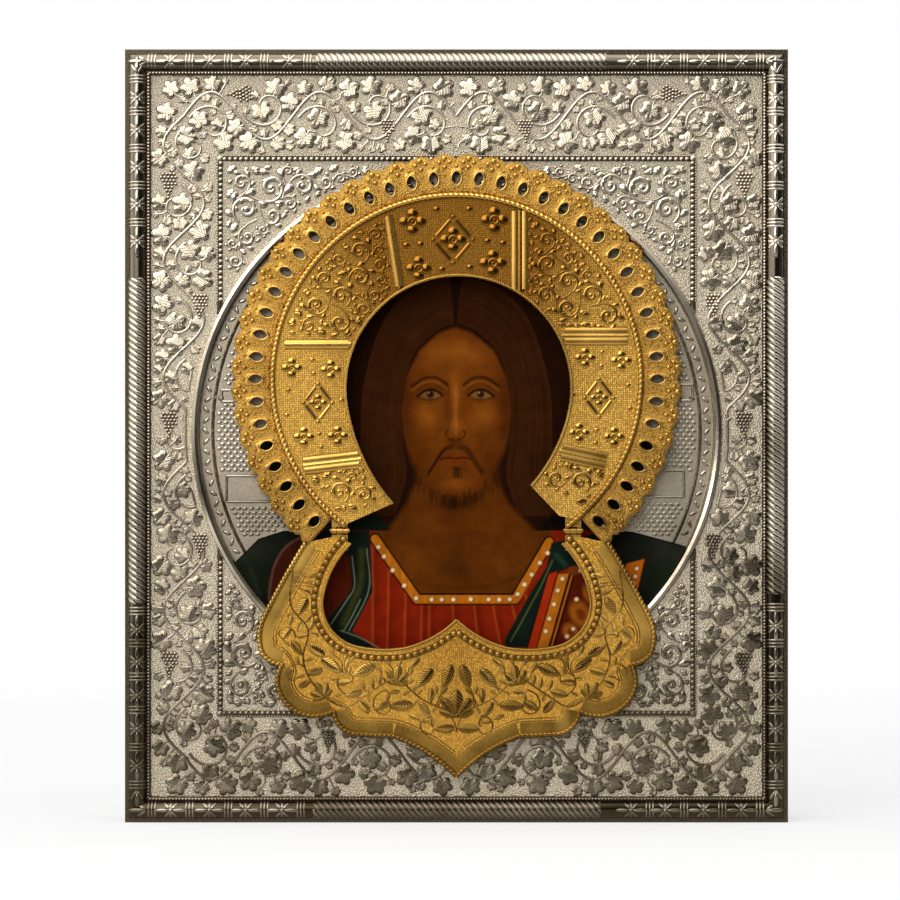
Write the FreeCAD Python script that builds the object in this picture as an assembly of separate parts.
import FreeCAD, Part
import math
import os

# A painted wooden icon in a chased silver cover, with a pierced gilt halo and a hinged crescent collar.
# Millimetres. X runs to the viewer's right, Y away from the viewer and Z up.
# The origin is on the face that the icon stands on, under the middle of its board.

V = FreeCAD.Vector

# Wooden board with two tapered dovetail battens let into its back.
board_width = 266.7
board_height = 311.2
board_thick = 24.0
board_back_chamfer = 1.5
batten_wide_end = 27.0
batten_narrow_end = 21.0
batten_thick = 10.0
batten_stands_proud = 3.0
batten_dovetail_lean = 2.2
batten_end_gap = 1.5
batten_fit = 0.1
batten_height_shares = {"lower": 0.21, "upper": 0.79}

# Ground of the painting.
linen_thick = 0.4
gesso_thick = 1.4
paint_thick = 0.2
ground_margin = 0.6

# Silver cover: sheet, rim strips and the round opening.
sheet_thick = 0.6
board_gap = 0.2
ring_facets = 4
small_wire_facets = 4
flat_wire_facets = 3
flange_depth = 26.4
shoulder_width = 1.8
shoulder_drop = 1.2
bead_width = 6.7
rim_leg = 2.0
border_rise = 4.0
sheet_tuck = 2.1
pearl_radius = 0.9
frame_wire_width = 2.3
frame_wire_rise = 0.9
frame_half_width = 96.9
frame_half_height = 113.5
opening_radius = 106.0
opening_height = 158.4
opening_ring_width = 3.3
opening_fit = 0.15
background_thick = 0.5
ridge_radius = 98.9
ridge_width = 1.4
ridge_rise = 0.8

# The background sheet stops along the shoulders: (x, height over the opening's centre) in shares of its radius.
shoulder_left_shares = [(-0.851, -0.505), (-0.758, -0.412), (-0.662, -0.382)]
shoulder_right_shares = [(0.586, -0.377), (0.677, -0.386), (0.845, -0.431), (0.892, -0.446)]
head_clear_radius = 60.0
lace_clear_radius = 86.6
lace_clear_top = 22.5

# Gilt halo.
halo_height = 179.3
halo_thick = 0.8
halo_clearance = 0.6
halo_seam_radius = 74.4
halo_rope_width = 2.6
halo_rope_rise = 1.9
rope_fit = 0.1
halo_edge_width = 1.1
halo_edge_rise = 0.7
lace_tip_radius = 91.9
lace_cusp_radius = 89.2
lace_hole_radius = 81.3
lace_hole_length = 4.9
lace_hole_width = 2.9
lace_holes = 43
lace_first_angle = 45.0
lace_end_angle = 34.0
hole_shares = [(-1, 0), (-0.3, 1), (0.35, 1), (1, 0), (0.35, -1), (-0.3, -1)]
rib_width = 3.2
rib_rise = 0.8

# Halo outlines, (x, height over its centre) in shares of the seam radius.
halo_inner_shares = {
    "left_tip": (-0.340, -0.672), "left_mid": (-0.497, -0.438), "left_join": (-0.579, -0.199),
    "top": (0.011, 0.558),
    "right_join": (0.598, -0.199), "right_mid": (0.508, -0.422), "right_tip": (0.399, -0.574),
}
halo_end_left_shares = [(-0.633, -0.802), (-0.829, -0.872), (-1.240, -1.019)]
halo_end_right_shares = [(0.558, -0.742), (0.653, -0.762), (0.819, -0.824), (1.240, -0.983)]
rib_shares = [
    ((-0.370, 0.889), (-0.307, 0.492)), ((0.345, 0.917), (0.345, 0.476)),
    ((-0.933, 0.190), (-0.574, 0.190)), ((0.574, 0.234), (0.933, 0.234)),
    ((-0.832, -0.471), (-0.519, -0.435)), ((0.558, -0.394), (0.813, -0.449)),
]

# Posts that carry the halo, and the small square-cut nails of the background sheet.
post_side = 3.6
post_circle = 66.0
post_angles = [72.0, 126.0, 180.0, 234.0, 288.0]
nail_circle = 96.5
nail_angles = [98.0, 150.0, 210.0, 262.0]
pin_side = 1.2
pin_in_board = 8.0
nail_head_radius = 1.3
nail_head_rise = 0.8
head_top_share = 0.55
nail_head_sides = 8
pin_fit = 0.05

# Nails through the cover's side flanges.
flange_nail_depth = 7.0
flange_nail_length = 11.0
side_nails = 4
end_nails = 3

# Crescent collar: (x, drop below the hinge axis) in shares of its half width and its drop.
collar_half_width = 79.6
collar_drop = 99.1
collar_thick = 0.8
collar_clearance = 0.5
collar_rope_width = 2.3
collar_rope_rise = 1.5
collar_cord_width = 1.2
collar_cord_rise = 0.9
collar_bead_inset = 3.4
collar_bead_width = 1.7
collar_bead_rise = 0.9
sharp_turn_angle = 30.0
corner_swell = 1.15
collar_top_shares = [(0.536, 0.051), (0.600, 0.026), (0.640, 0.026), (0.766, 0.048)]
collar_outer_shares = [
    ((0.882, 0.206), (0.975, 0.349)), ((1.001, 0.439), (0.984, 0.502)), ((0.950, 0.527), (0.884, 0.543)),
    ((0.905, 0.586), (0.908, 0.630)), ((0.862, 0.702), (0.735, 0.753)), ((0.678, 0.750), (0.623, 0.733)),
    ((0.593, 0.793), (0.509, 0.828)), ((0.415, 0.831), (0.324, 0.834)), ((0.161, 0.895), (0.000, 1.000)),
]
collar_inner_shares = [
    ((0.644, 0.177), (0.681, 0.286)), ((0.636, 0.404), (0.490, 0.475)),
    ((0.372, 0.485), (0.254, 0.477)), ((0.121, 0.435), (0.000, 0.363)),
]

# The collar's two small hinges under the halo's ends.
hinge_x = 47.2
hinge_height = 118.0
knuckle_radius = 1.4
hinge_pin_radius = 0.7
hinge_pin_fit = 0.05
side_knuckle = 1.8
middle_knuckle = 2.4
knuckle_gap = 0.2
hinge_leaf_thick = 0.6
hinge_leaf_length = 8.0
pin_head_radius = 1.1
pin_head_length = 0.5

# Staple and ring at the back.
staple_wire = 2.0
staple_in_board = 14.0
staple_below_top = 24.0
ring_radius = 10.0
ring_wire_radius = 1.2
ring_gap = 0.3
ring_off_board = 1.0
cut_over = 2.0

# Places worked out from the sizes above.
overall_width = board_width + 2 * (board_gap + sheet_thick)
overall_height = board_height + 2 * (board_gap + sheet_thick)
middle_height = overall_height / 2
board_foot = board_gap + sheet_thick
gesso_front = linen_thick + gesso_thick
paint_front = gesso_front + paint_thick
background_front = paint_front + background_thick
border_front = paint_front + border_rise
ring_crown = border_front + opening_ring_width / 2
halo_back = ring_crown + halo_clearance
halo_front = halo_back + halo_thick
collar_back = ring_crown + collar_clearance
collar_front = collar_back + collar_thick
rim_front = border_front + sheet_thick
field_inset = shoulder_width + bead_width + rim_leg
board_back = board_thick / 2
wall_inner_radius = opening_radius - opening_ring_width / 2
hinge_half_width = middle_knuckle / 2 + knuckle_gap + side_knuckle


def front(depth):
    """Y of a layer that lies this far in front of the board's front face."""
    return -(board_thick / 2 + depth)


def slab(x0, x1, z0, z1, depth0, depth1):
    """Box between two depths in front of the board."""
    corner = V(x0, front(depth1), z0)
    return Part.makeBox(x1 - x0, depth1 - depth0, z1 - z0, corner)


def flat_edges(start, steps, depth):
    """Edges of an outline at one depth: each step is (end) for a line or (through, end) for an arc."""
    y = front(depth)
    edges = []
    here = V(start[0], y, start[1])
    for step in steps:
        if isinstance(step[0], tuple):
            through = V(step[0][0], y, step[0][1])
            end = V(step[1][0], y, step[1][1])
            edges.append(Part.Arc(here, through, end).toShape())
        else:
            end = V(step[0], y, step[1])
            edges.append(Part.LineSegment(here, end).toShape())
        here = end
    return edges


def flat_wire(start, steps, depth):
    return Part.Wire(flat_edges(start, steps, depth))


def plate(wire, thick):
    """Closed outline given thickness towards the viewer."""
    return Part.Face(wire).extrude(V(0, -thick, 0))


def disc(radius, height, depth0, depth1):
    """Round solid on an axis along Y, in the middle of the board's width."""
    return Part.makeCylinder(radius, depth1 - depth0, V(0, front(depth0), height), V(0, -1, 0))


def turned(points, height):
    """Solid of revolution about the Y axis through (0, height), from a closed run of (radius, depth) points."""
    corners = [V(radius, front(depth), height) for radius, depth in points + points[:1]]
    return Part.Face(Part.makePolygon(corners)).revolve(V(0, 0, height), V(0, 1, 0), 360)


def crown(width, rise, facets):
    """Half-round section in facets, as (place across, height) from one foot to the other."""
    points = []
    for i in range(facets + 1):
        turn = math.pi * i / facets
        points.append((-width / 2 * math.cos(turn), rise * math.sin(turn)))
    return points


def polar(radius, angle):
    """(x, height over the centre) at an angle from straight down, going round by the left."""
    turn = math.radians(angle)
    return (-radius * math.sin(turn), -radius * math.cos(turn))


def square_pin(x, z, depth0, depth1, side):
    """Square shank along Y."""
    return slab(x - side / 2, x + side / 2, z - side / 2, z + side / 2, depth0, depth1)


def nail_head(place, out):
    """Low forged head with eight sloping sides, standing out from a surface."""
    across = V(0, 0, 1) if out.z == 0 else V(1, 0, 0)
    sections = []
    for radius, rise in ((nail_head_radius, 0), (nail_head_radius * head_top_share, nail_head_rise)):
        corners = []
        for i in range(nail_head_sides):
            turn = FreeCAD.Rotation(out, 360 * i / nail_head_sides)
            corners.append(place + out * rise + turn.multVec(across * radius))
        sections.append(Part.makePolygon(corners + corners[:1]))
    return Part.makeLoft(sections, True, True)


def save(name, *solids):
    shape = solids[0] if len(solids) == 1 else Part.Compound(list(solids))
    shape.exportStep(os.path.join("parts", name + ".step"))


def centres_of_pins():
    """Places of the pins that pass through the background sheet: halo posts, then nails."""
    places = []
    for angle in post_angles:
        x, z = polar(post_circle, angle)
        places.append((x, halo_height + z))
    for angle in nail_angles:
        x, z = polar(nail_circle, angle)
        places.append((x, opening_height + z))
    return places


def pin_holes():
    side = pin_side + 2 * pin_fit
    deep = -(pin_in_board + pin_fit)
    holes = [square_pin(x, z, deep, background_front + cut_over, side) for x, z in centres_of_pins()]
    return Part.Compound(holes)


def flange_nail_places():
    """(x, z, outward direction) of each nail in the cover's four side flanges."""
    places = []
    for i in range(side_nails):
        z = overall_height * (2 * i + 1) / (2 * side_nails)
        places.append((-overall_width / 2, z, V(-1, 0, 0)))
        places.append((overall_width / 2, z, V(1, 0, 0)))
    for i in range(end_nails):
        x = overall_width * ((2 * i + 1) / (2 * end_nails) - 1 / 2)
        places.append((x, overall_height, V(0, 0, 1)))
    return places


def flange_shank(x, z, out, side, overrun):
    """Square shank from a point outside the flange into the board."""
    y = front(-flange_nail_depth)
    half = side / 2
    deep = flange_nail_length
    if out.z:
        return Part.makeBox(side, side, deep + overrun, V(x - half, y - half, z - deep))
    start = x - deep if out.x > 0 else x - overrun
    return Part.makeBox(deep + overrun, side, side, V(start, y - half, z - half))


def flange_holes():
    side = pin_side + 2 * pin_fit
    return Part.Compound([flange_shank(x, z, out, side, cut_over) for x, z, out in flange_nail_places()])


def make_flange_nails():
    nails = []
    for x, z, out in flange_nail_places():
        head = nail_head(V(x, front(-flange_nail_depth), z), out)
        nails.append(head.fuse(flange_shank(x, z, out, pin_side, 0)))
    return nails


def batten_prism(z, taper_sign, grow):
    """Tapered dovetail batten along X: wide at its foot in the board, wider at one end."""
    length = board_width / 2 - batten_end_gap + grow
    foot_y = board_back - (batten_thick - batten_stands_proud) - grow
    top_y = board_back + batten_stands_proud + grow
    sections = []
    for end in (-1, 1):
        wide = end * taper_sign > 0
        half = (batten_wide_end if wide else batten_narrow_end) / 2 + grow
        lean = batten_dovetail_lean
        x = end * length
        corners = [
            V(x, foot_y, z - half), V(x, foot_y, z + half),
            V(x, top_y, z + half - lean), V(x, top_y, z - half + lean),
        ]
        sections.append(Part.makePolygon(corners + [corners[0]]))
    return Part.makeLoft(sections, True, True)


def make_wood():
    low = V(-board_width / 2, front(0), board_foot)
    board = Part.makeBox(board_width, board_thick, board_height, low)
    rear_edges = []
    for edge in board.Edges:
        if all(abs(vertex.Y - board_back) < board_back_chamfer / 2 for vertex in edge.Vertexes):
            rear_edges.append(edge)
    board = board.makeChamfer(board_back_chamfer, rear_edges)
    battens = {}
    for name, sign in (("upper", 1), ("lower", -1)):
        z = board_foot + board_height * batten_height_shares[name]
        battens[name] = batten_prism(z, sign, 0)
        groove = batten_prism(z, sign, batten_fit)
        board = board.cut(groove)
        run_out = batten_end_gap + cut_over
        end = sign * board_width / 2
        half = batten_wide_end / 2 + batten_fit
        mouth_y = board_back - (batten_thick - batten_stands_proud) - batten_fit
        corners = [
            V(end - sign * run_out, mouth_y, z - half), V(end - sign * run_out, mouth_y, z + half),
            V(end - sign * run_out, board_back, z + half - batten_dovetail_lean),
            V(end - sign * run_out, board_back, z - half + batten_dovetail_lean),
        ]
        mouth = Part.Face(Part.makePolygon(corners + [corners[0]]))
        board = board.cut(mouth.extrude(V(sign * (run_out + cut_over), 0, 0)))
    board = board.cut(pin_holes()).cut(flange_holes()).cut(staple_legs(pin_fit))
    save("panel_board", board)
    save("batten_upper", battens["upper"])
    save("batten_lower", battens["lower"])


def make_ground():
    half = board_width / 2 - ground_margin
    low = board_foot + ground_margin
    high = board_foot + board_height - ground_margin
    holes = pin_holes()
    layers = (
        ("linen_layer", 0, linen_thick),
        ("gesso_ground", linen_thick, gesso_front),
        ("painting", gesso_front, paint_front),
    )
    for name, depth0, depth1 in layers:
        save(name, slab(-half, half, low, high, depth0, depth1).cut(holes))


def rim_section(x):
    """Section of the rim strip on the left side: flange, shoulder, half-round bead and inner leg."""
    t = sheet_thick
    radius = bead_width / 2
    bead0 = shoulder_width
    bead1 = shoulder_width + bead_width
    middle = (bead0 + bead1) / 2
    back = rim_front - shoulder_drop - flange_depth
    inner = radius - t
    points = [
        (0, back), (0, rim_front - shoulder_drop), (bead0, rim_front),
        ((middle, rim_front + radius), (bead1, rim_front)),
        (field_inset, rim_front), (field_inset, rim_front - t), (bead1 - t, rim_front - t),
        (bead1 - t, rim_front),
        ((middle, rim_front + inner), (bead0 + t, rim_front)),
        (bead0 + t, rim_front - t), (t, rim_front - shoulder_drop - t / 2), (t, back), (0, back),
    ]
    edges = []
    here = None
    for point in points:
        if isinstance(point[0], tuple):
            through = V(x + point[0][0], front(point[0][1]), 0)
            end = V(x + point[1][0], front(point[1][1]), 0)
            edges.append(Part.Arc(here, through, end).toShape())
        else:
            end = V(x + point[0], front(point[1]), 0)
            if here is not None:
                edges.append(Part.LineSegment(here, end).toShape())
        here = end
    return Part.Face(Part.Wire(edges))


def half_round_section(x, width, rise, depth):
    """Half-round wire section lying on a sheet, its middle at x."""
    corners = [V(x + across, front(depth + up), 0) for across, up in crown(width, rise, small_wire_facets)]
    return Part.Face(Part.makePolygon(corners + corners[:1]))


def four_sides(section, half_width, half_height, reach):
    """Section that lies at the left edge of a rectangle, run round it as four mitred strips."""
    strips = {}
    run = 2 * (half_width + half_height)
    low = section.BoundBox.YMin - cut_over
    deep = section.BoundBox.YMax + cut_over - low
    turns = (("left", 0), ("bottom", 90), ("right", 180), ("top", 270))
    for name, angle in turns:
        upright = name in ("left", "right")
        side = half_width if upright else half_height
        along = half_height if upright else half_width
        strip = section.copy()
        strip.translate(V(-side, 0, -run / 2))
        strip = strip.extrude(V(0, 0, run))
        wedge = Part.makePolygon([
            V(-side, low, -along), V(-side + reach, low, -along + reach),
            V(-side + reach, low, along - reach), V(-side, low, along), V(-side, low, -along),
        ])
        strip = strip.common(Part.Face(wedge).extrude(V(0, deep, 0)))
        strip.rotate(V(0, 0, 0), V(0, -1, 0), angle)
        strip.translate(V(0, 0, middle_height))
        strips[name] = strip
    return strips


def make_cover():
    reach = field_inset + cut_over
    rims = four_sides(rim_section(0), overall_width / 2, overall_height / 2, reach)
    holes = flange_holes()
    for name, rim in rims.items():
        save("rim_" + name, rim.cut(holes))
    save("flange_nails", *make_flange_nails())

    pearl = half_round_section(field_inset - rim_leg / 2, 2 * pearl_radius, pearl_radius, rim_front)
    pearls = four_sides(pearl, overall_width / 2, overall_height / 2, reach)
    save("rim_pearl_wire", *pearls.values())

    edge = field_inset - sheet_tuck
    half = overall_width / 2 - edge
    sheet = slab(-half, half, edge, overall_height - edge, border_front - sheet_thick, border_front)
    hole = wall_inner_radius + sheet_thick + opening_fit
    sheet = sheet.cut(disc(hole, opening_height, 0, border_front + cut_over))
    save("border_sheet", sheet)

    bead = half_round_section(frame_wire_width / 2, frame_wire_width, frame_wire_rise, border_front)
    wires = four_sides(bead, frame_half_width, frame_half_height, frame_wire_width)
    loop = wires["left"].fuse([wires["bottom"], wires["right"], wires["top"]]).removeSplitter()
    clear = opening_radius + opening_ring_width / 2 + opening_fit
    save("beaded_frame_wire", loop.cut(disc(clear, opening_height, 0, border_front + cut_over)))

    wall_outer = wall_inner_radius + sheet_thick
    bead = crown(opening_ring_width, opening_ring_width / 2, ring_facets)
    section = [(wall_inner_radius, paint_front)]
    section += [(opening_radius + across, border_front + up) for across, up in bead]
    section += [(wall_outer, border_front), (wall_outer, paint_front)]
    save("opening_ring", turned(section, opening_height))


def make_background():
    edge = wall_inner_radius - opening_fit
    top = background_front + ridge_rise
    sheet = disc(edge, opening_height, paint_front, background_front)
    half = ridge_width / 2
    ridge = [(ridge_radius + across, background_front + up) for across, up in crown(ridge_width, ridge_rise, 2)]
    foot = background_front - background_thick / 2
    ridge += [(ridge_radius + half, foot), (ridge_radius - half, foot)]
    sheet = sheet.fuse(turned(ridge, opening_height))
    r = opening_radius
    line = [(x * r, opening_height + z * r) for x, z in shoulder_left_shares + shoulder_right_shares]
    outside = r + cut_over
    corners = [(-outside, line[0][1])] + line + [(outside, line[-1][1])]
    corners = corners + [(outside, opening_height - outside), (-outside, opening_height - outside)]
    below = flat_wire(corners[0], corners[1:] + corners[:1], 0)
    cut = [plate(below, top + cut_over)]
    cut.append(disc(head_clear_radius, halo_height, 0, top + cut_over))
    lace_side = disc(lace_clear_radius, halo_height, 0, top + cut_over)
    cut_top = halo_height - lace_clear_top
    cut.append(lace_side.common(slab(-r, r, opening_height - outside, cut_top, 0, top + cut_over)))
    sheet = sheet.cut(cut).cut(pin_holes())
    save("background_sheet", sheet)
    nails = []
    for x, z in centres_of_pins()[len(post_angles):]:
        shank = square_pin(x, z, -pin_in_board, background_front, pin_side)
        head = nail_head(V(x, front(background_front), z), V(0, -1, 0))
        nails.append(head.fuse(shank))
    save("background_nails", *nails)


def halo_point(share):
    return (share[0] * halo_seam_radius, halo_height + share[1] * halo_seam_radius)


def halo_inner_wire(depth):
    """Edge of the halo's opening: a round arc that runs out into the two tips."""
    p = {name: halo_point(share) for name, share in halo_inner_shares.items()}
    steps = [
        (p["left_mid"], p["left_join"]), (p["top"], p["right_join"]),
        (p["right_mid"], p["right_tip"]), p["left_tip"],
    ]
    return flat_wire(p["left_tip"], steps, depth)


def halo_gap():
    """What is cut away below the halo's two ends."""
    left = [halo_point(s) for s in [halo_inner_shares["left_tip"]] + halo_end_left_shares]
    right = [halo_point(s) for s in [halo_inner_shares["right_tip"]] + halo_end_right_shares]
    foot = halo_height - 2 * lace_tip_radius
    corners = left + [(left[-1][0], foot), (right[-1][0], foot)] + right[::-1]
    outline = flat_wire(corners[0], corners[1:] + corners[:1], 0)
    deep = halo_front + halo_rope_rise + cut_over
    notch = hinge_half_width + 2 * knuckle_gap + pin_head_length
    notch_top = hinge_height + knuckle_radius + knuckle_gap
    notches = [slab(side * hinge_x - notch, side * hinge_x + notch, foot, notch_top, 0, deep) for side in (-1, 1)]
    return plate(outline, deep).fuse(notches)


def make_rib(start, end):
    """Half-round rib lying on the halo plate between two points, with square ends."""
    a, b = halo_point(start), halo_point(end)
    along = V(b[0] - a[0], 0, b[1] - a[1])
    across = V(-along.z, 0, along.x).normalize() * (rib_width / 2)
    foot = V(a[0], front(halo_front), a[1])
    crest = foot + V(0, -rib_rise, 0)
    arc = Part.Arc(foot - across, crest, foot + across).toShape()
    floor = Part.LineSegment(foot + across, foot - across).toShape()
    return Part.Face(Part.Wire([arc, floor])).extrude(along)


def make_halo():
    gap = halo_gap()
    opening = plate(halo_inner_wire(halo_back - cut_over), halo_thick + 2 * cut_over + halo_edge_rise)
    body = disc(halo_seam_radius, halo_height, halo_back, halo_front)
    rope_side = halo_seam_radius - halo_rope_width / 2 - rope_fit
    raised = disc(rope_side, halo_height, halo_front, halo_front + rib_rise)
    edge_wire = halo_inner_wire(halo_back - cut_over).makeOffset2D(halo_edge_width)
    edge = raised.common(plate(edge_wire, halo_thick + cut_over + halo_edge_rise))
    ribs = [make_rib(start, end).common(raised) for start, end in rib_shares]
    body = body.fuse([edge] + ribs).cut([opening, gap]).removeSplitter()
    save("halo_plate", body)

    round_wire = crown(halo_rope_width, halo_rope_rise, ring_facets)
    rope = turned([(halo_seam_radius + across, halo_front + up) for across, up in round_wire], halo_height)
    save("halo_rope", rope.cut(gap))
    save("halo_lace", make_lace().cut(gap))
    posts = []
    for x, z in centres_of_pins()[:len(post_angles)]:
        shoulder = square_pin(x, z, background_front, halo_back, post_side)
        shank = square_pin(x, z, -pin_in_board, background_front, pin_side)
        posts.append(shoulder.fuse(shank))
    save("halo_posts", *posts)


def make_lace():
    """Outer band of the halo: scalloped lobes, each with a pointed oval hole."""
    pitch = (360 - 2 * lace_first_angle) / (lace_holes - 1)

    def at(radius, angle):
        x, z = polar(radius, angle)
        return (x, halo_height + z)

    first = lace_first_angle - pitch / 2
    last = 360 - first
    end = lace_end_angle
    steps = [at(lace_cusp_radius, end)]
    steps.append((at(lace_cusp_radius, (end + first) / 2), at(lace_cusp_radius, first)))
    for i in range(lace_holes):
        angle = lace_first_angle + i * pitch
        steps.append((at(lace_tip_radius, angle), at(lace_cusp_radius, angle + pitch / 2)))
    steps.append((at(lace_cusp_radius, (last + 360 - end) / 2), at(lace_cusp_radius, 360 - end)))
    steps.append(at(halo_seam_radius, 360 - end))
    steps.append((at(halo_seam_radius, 180), at(halo_seam_radius, end)))
    band = plate(flat_wire(at(halo_seam_radius, end), steps, halo_back), halo_thick)
    holes = []
    for i in range(lace_holes):
        angle = lace_first_angle + i * pitch
        turn = math.degrees(lace_hole_width / 2 / lace_hole_radius)
        corners = []
        for along, across in hole_shares:
            corners.append(at(lace_hole_radius + along * lace_hole_length / 2, angle + across * turn))
        wire = flat_wire(corners[0], corners[1:] + corners[:1], halo_back - cut_over)
        holes.append(plate(wire, halo_thick + 2 * cut_over))
    return band.cut(holes)


def collar_point(share, side):
    return (side * share[0] * collar_half_width, hinge_height - share[1] * collar_drop)


def collar_steps(arcs, side):
    return [(collar_point(through, side), collar_point(end, side)) for through, end in arcs]


def backwards(start, steps):
    """The same outline steps walked from the other end."""
    points = [start] + [step[-1] if isinstance(step[0], tuple) else step for step in steps]
    turned_steps = []
    for i in range(len(steps) - 1, -1, -1):
        if isinstance(steps[i][0], tuple):
            turned_steps.append((steps[i][0], points[i]))
        else:
            turned_steps.append(points[i])
    return turned_steps


def collar_wire(depth):
    """Whole outline of the crescent: right top, outer edge to the tip, left side, inner edge."""
    start = collar_point(collar_top_shares[0], 1)
    top = [collar_point(share, 1) for share in collar_top_shares[1:]]
    outer = collar_steps(collar_outer_shares, 1)
    left_start = collar_point(collar_top_shares[-1], -1)
    outer_back = backwards(left_start, collar_steps(collar_outer_shares, -1))
    top_back = [collar_point(share, -1) for share in collar_top_shares[-2::-1]]
    inner = collar_steps(collar_inner_shares, -1)
    inner_back = backwards(start, collar_steps(collar_inner_shares, 1))
    return flat_wire(start, top + outer + outer_back + top_back + inner + inner_back, depth)


def collar_edge(horn_share, arcs, depth):
    """Arcs of one edge of the crescent's right half, from its horn to the middle."""
    return flat_edges(collar_point(horn_share, 1), collar_steps(arcs, 1), depth)


def side_of(edge, parameter):
    """Direction across an edge, to the left of its run as the viewer sees it."""
    tangent = edge.tangentAt(parameter)
    return V(-tangent.z, 0, tangent.x)


def arcs_beside(edges, inset):
    """Arcs at a set distance beside others, joined where those join."""
    sides = [side_of(edges[0], edges[0].FirstParameter)]
    for before, after in zip(edges, edges[1:]):
        between = side_of(before, before.LastParameter) + side_of(after, after.FirstParameter)
        sides.append(between.normalize())
    sides.append(side_of(edges[-1], edges[-1].LastParameter))
    arcs = []
    for i, edge in enumerate(edges):
        half_way = (edge.FirstParameter + edge.LastParameter) / 2
        start = edge.valueAt(edge.FirstParameter) + sides[i] * inset
        through = edge.valueAt(half_way) + side_of(edge, half_way) * inset
        end = edge.valueAt(edge.LastParameter) + sides[i + 1] * inset
        arcs.append(Part.Arc(start, through, end).toShape())
    return arcs


def wire_section(edge, width, rise):
    """Section across an edge at its start."""
    foot = edge.valueAt(edge.FirstParameter)
    side = side_of(edge, edge.FirstParameter)
    corners = [foot + side * across + V(0, -up, 0) for across, up in crown(width, rise, flat_wire_facets)]
    return Part.makePolygon(corners + corners[:1])


def corner_knob(foot, width, rise):
    """Knob of solder where a wire turns a sharp corner."""
    across, up = crown(width, rise, flat_wire_facets)[-2]
    return Part.makeCone(width / 2, across, up, foot, V(0, -1, 0))


def smooth_runs(edges):
    """Edges in groups that run on smoothly, split at the sharp corners."""
    runs = [[edges[0]]]
    for before, edge in zip(edges, edges[1:]):
        turn = before.tangentAt(before.LastParameter).getAngle(edge.tangentAt(edge.FirstParameter))
        if turn > math.radians(sharp_turn_angle):
            runs.append([edge])
        else:
            runs[-1].append(edge)
    return runs


def wire_along(edges, width, rise):
    """Wire bent along half an outline and mirrored, with a knob at each sharp corner."""
    solids = []
    for i, run in enumerate(smooth_runs(edges)):
        sweep = Part.BRepOffsetAPI.MakePipeShell(Part.Wire(run))
        sweep.setBiNormalMode(V(0, 1, 0))
        sweep.setTransitionMode(2)
        sweep.add(wire_section(run[0], width, rise))
        sweep.build()
        sweep.makeSolid()
        solids.append(sweep.shape())
        if i:
            corner = run[0].valueAt(run[0].FirstParameter)
            solids.append(corner_knob(corner, width * corner_swell, rise * corner_swell))
    middle = edges[-1].valueAt(edges[-1].LastParameter)
    if abs(middle.x) < width / 2:
        solids.append(corner_knob(middle, width * corner_swell, rise * corner_swell))
    room = Part.makeBox(
        collar_half_width + width, collar_front, 2 * collar_drop,
        V(0, front(2 * collar_front), hinge_height - 2 * collar_drop + width),
    )
    half = solids[0].fuse(solids[1:]) if solids[1:] else solids[0]
    half = half.common(room)
    return half.fuse(half.mirror(V(0, 0, 0), V(1, 0, 0)))


def make_collar():
    save("collar_plate", plate(collar_wire(collar_back), collar_thick))
    outer = collar_edge(collar_top_shares[-1], collar_outer_shares, collar_front)
    save("collar_rope_wire", wire_along(outer, collar_rope_width, collar_rope_rise))
    inner = collar_edge(collar_top_shares[0], collar_inner_shares, collar_front)
    save("collar_cord_wire", wire_along(inner, collar_cord_width, collar_cord_rise))
    beads = wire_along(arcs_beside(inner, collar_bead_inset), collar_bead_width, collar_bead_rise)
    room = plate(collar_wire(collar_front - cut_over), collar_bead_rise + 2 * cut_over)
    save("collar_bead_row", beads.common(room))


def tube(x0, x1, outer, inner):
    """Hinge knuckle along X on the hinge axis."""
    start = V(x0, front(halo_back), hinge_height)
    body = Part.makeCylinder(outer, x1 - x0, start, V(1, 0, 0))
    if inner:
        body = body.cut(Part.makeCylinder(inner, x1 - x0, start, V(1, 0, 0)))
    return body


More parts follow.
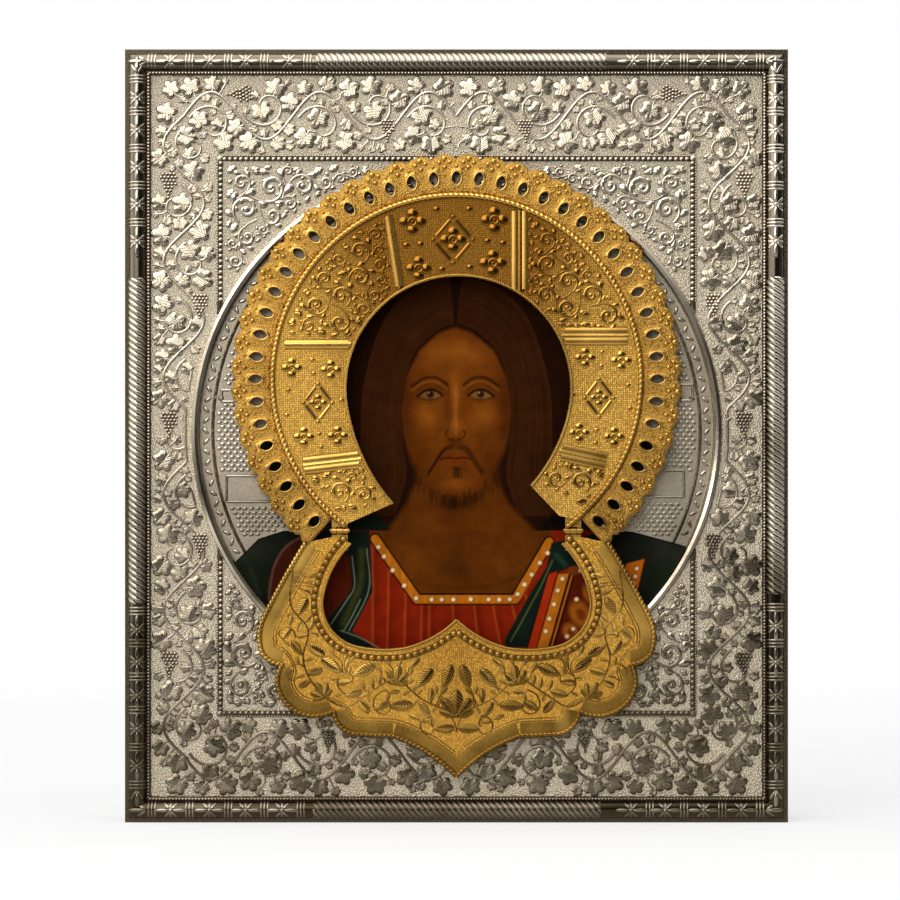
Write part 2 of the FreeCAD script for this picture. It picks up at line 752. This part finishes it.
def make_hinges():
    halo_leaves = []
    collar_leaves = []
    pins = []
    bore = hinge_pin_radius + hinge_pin_fit
    half = middle_knuckle / 2 + knuckle_gap
    outer = hinge_half_width
    for side in (-1, 1):
        x = side * hinge_x
        knuckles = [tube(x - outer, x - half, knuckle_radius, bore), tube(x + half, x + outer, knuckle_radius, bore)]
        leaf = slab(x - outer, x + outer, hinge_height, hinge_height + hinge_leaf_length,
                    halo_back - hinge_leaf_thick, halo_back)
        throat = slab(x - half, x + half, hinge_height, hinge_height + knuckle_radius + knuckle_gap,
                      halo_back - hinge_leaf_thick, halo_back)
        eye = tube(x - outer, x + outer, bore, 0)
        halo_leaves.append(knuckles[0].fuse([knuckles[1], leaf.cut([throat, eye])]).removeSplitter())

        centre = tube(x - middle_knuckle / 2, x + middle_knuckle / 2, knuckle_radius, bore)
        arm = slab(x - middle_knuckle / 2, x + middle_knuckle / 2, hinge_height - hinge_leaf_length / 2,
                   hinge_height, collar_back - hinge_leaf_thick, collar_back)
        pad_top = hinge_height - knuckle_radius - knuckle_gap
        pad = slab(x - outer, x + outer, hinge_height - hinge_leaf_length, pad_top,
                   collar_back - hinge_leaf_thick, collar_back)
        collar_leaves.append(centre.fuse([arm.cut(eye), pad]).removeSplitter())

        reach = outer + knuckle_gap
        pin = tube(x - reach, x + reach, hinge_pin_radius, 0)
        heads = [tube(x - reach - pin_head_length, x - reach, pin_head_radius, 0),
                 tube(x + reach, x + reach + pin_head_length, pin_head_radius, 0)]
        pins.append(pin.fuse(heads).removeSplitter())
    save("halo_hinge_leaves", *halo_leaves)
    save("collar_hinge_leaves", *collar_leaves)
    save("hinge_pins", *pins)


def staple_places():
    """Height of the staple's middle, and half the gap between its legs."""
    height = board_foot + board_height - staple_below_top
    gap = ring_wire_radius + ring_gap
    return height, gap


def staple_legs(grow):
    height, gap = staple_places()
    side = staple_wire + 2 * grow
    legs = []
    for sign in (-1, 1):
        middle = height + sign * (gap + staple_wire / 2)
        corner = V(-side / 2, board_back - staple_in_board - grow, middle - side / 2)
        legs.append(Part.makeBox(side, staple_in_board + 2 * grow, side, corner))
    return Part.Compound(legs)


def make_hanger():
    height, gap = staple_places()
    ring_y = board_back + ring_off_board + ring_wire_radius
    half = staple_wire / 2
    legs = []
    for sign in (-1, 1):
        foot = V(-half, board_back - staple_in_board, height + sign * (gap + half) - half)
        legs.append(Part.makeBox(staple_wire, staple_in_board + ring_y - board_back, staple_wire, foot))
    low = V(-half, ring_y, height + gap)
    section = Part.makePolygon([
        low, low + V(staple_wire, 0, 0), low + V(staple_wire, 0, staple_wire), low + V(0, 0, staple_wire), low,
    ])
    bend = Part.Face(section).revolve(V(0, ring_y, height), V(-1, 0, 0), 180)
    save("hanger_staple", legs[0].fuse([legs[1], bend]).removeSplitter())

    centre = V(0, ring_y, height - ring_radius)
    corners = []
    for i in range(2 * ring_facets):
        turn = math.pi * i / ring_facets
        reach = ring_radius + ring_wire_radius * math.cos(turn)
        corners.append(centre + V(reach, ring_wire_radius * math.sin(turn), 0))
    ring = Part.Face(Part.makePolygon(corners + corners[:1]))
    save("hanging_ring", ring.revolve(centre, V(0, 1, 0), 360))


os.makedirs("parts", exist_ok=True)
make_wood()
make_ground()
make_cover()
make_background()
make_halo()
make_collar()
make_hinges()
make_hanger()
